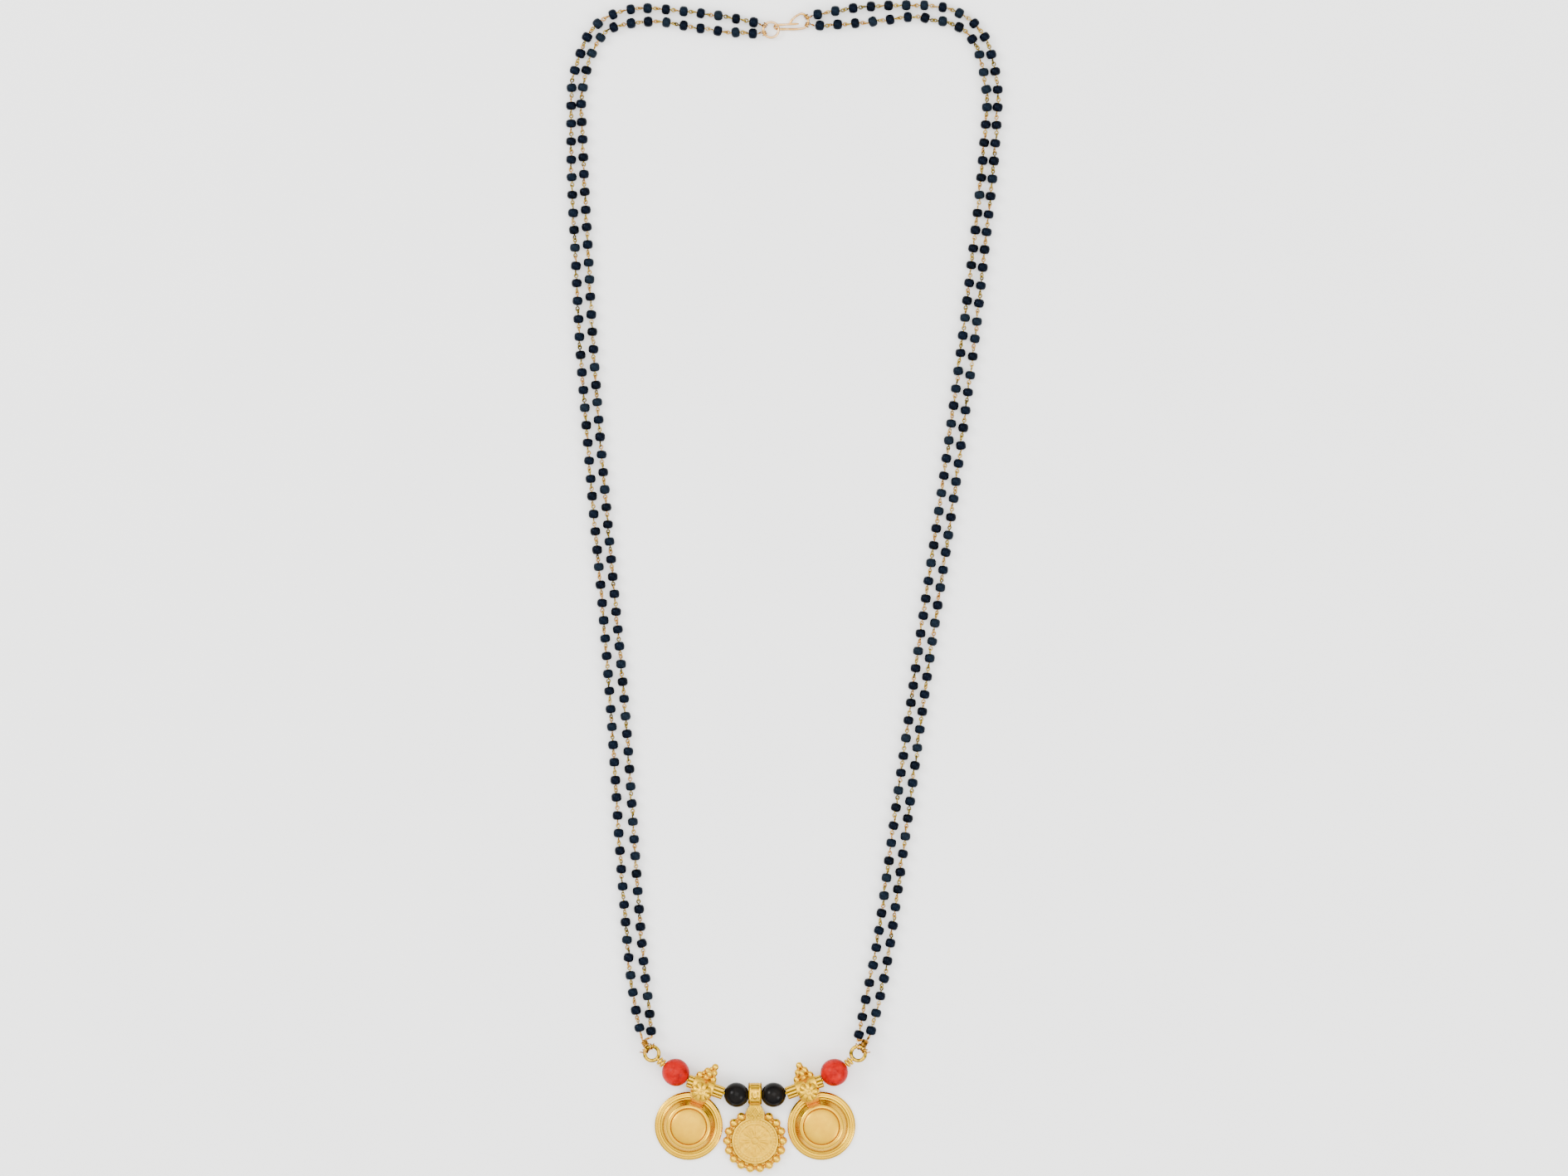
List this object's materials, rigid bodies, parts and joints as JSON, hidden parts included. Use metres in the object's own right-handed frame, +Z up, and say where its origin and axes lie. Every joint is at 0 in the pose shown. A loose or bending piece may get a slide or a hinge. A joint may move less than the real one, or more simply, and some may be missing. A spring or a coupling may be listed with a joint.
{
  "type": "mangalsutra",
  "caption": "Necklace of doubled black bead strands on wire links, with a hook and ring clasp and a bent wire carrying coral beads, gold cup pendants and a coin pendant.",
  "frame": {"origin": "middle of the lying necklace's box, on the surface that it rests on", "axes": "+X to the wearer's left as it lies, +Y from the pendants to the clasp, +Z up from the surface"},
  "size_m": [0.1265, 0.3392, 0.008],
  "materials": {
    "black_glass": "opaque glossy blue-black glass",
    "link_wire": "bright pale gold wire",
    "clasp_wire": "bright pale gold wire",
    "pendant_gold": "polished yellow gold",
    "coin_gold": "satin yellow gold",
    "coral": "polished red-orange coral",
    "black_stone": "polished black stone"
  },
  "bodies": {
    "root": {"strand_left_outer": "black_glass", "strand_left_inner": "black_glass", "strand_right_inner": "black_glass", "strand_right_outer": "black_glass", "tie_top_left_outer": "link_wire", "tie_top_left_inner": "link_wire", "tie_top_right_inner": "link_wire", "tie_top_right_outer": "link_wire", "tie_low_left_outer": "link_wire", "tie_low_left_inner": "link_wire", "tie_low_right_inner": "link_wire", "tie_low_right_outer": "link_wire", "clasp_ring": "clasp_wire", "clasp_hook": "clasp_wire", "pendant_wire": "pendant_gold", "coral_bead_left": "coral", "coral_bead_right": "coral", "fluted_tube_left": "pendant_gold", "fluted_tube_right": "pendant_gold", "black_bead_left": "black_stone", "black_bead_right": "black_stone", "cup_pendant_left": "pendant_gold", "cup_pendant_right": "pendant_gold", "coin_pendant": "coin_gold"}
  },
  "joints": []
}
